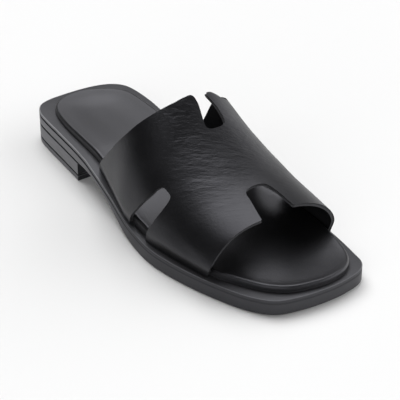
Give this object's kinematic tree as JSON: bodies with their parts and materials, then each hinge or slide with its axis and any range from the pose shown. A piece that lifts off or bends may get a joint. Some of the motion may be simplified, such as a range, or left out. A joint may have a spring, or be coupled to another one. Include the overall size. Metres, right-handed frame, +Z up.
{
  "type": "slide sandal",
  "caption": "Flat slide sandal with a low block heel, a padded footbed and a one-piece leather strap cut out at the back, front and both sides.",
  "frame": {"origin": "centre of the bounding box on the floor plane under the sole", "axes": "+X towards the toe, +Y towards the medial side of this right shoe, +Z up"},
  "size_m": [0.2548, 0.096, 0.0797],
  "materials": {
    "outsole": "matt black edge, fine stacked layers",
    "midsole": "black edge-dyed leather, soft sheen",
    "heel_block": "matt black, finely ribbed side",
    "heel_top_lift": "matt black",
    "insole": "black padded leather with a fine grain",
    "upper": "smooth black leather, raw cut edges"
  },
  "bodies": {
    "root": {"outsole": "outsole", "midsole": "midsole", "heel_block": "heel_block", "heel_top_lift": "heel_top_lift", "insole": "insole", "upper": "upper"}
  },
  "joints": []
}
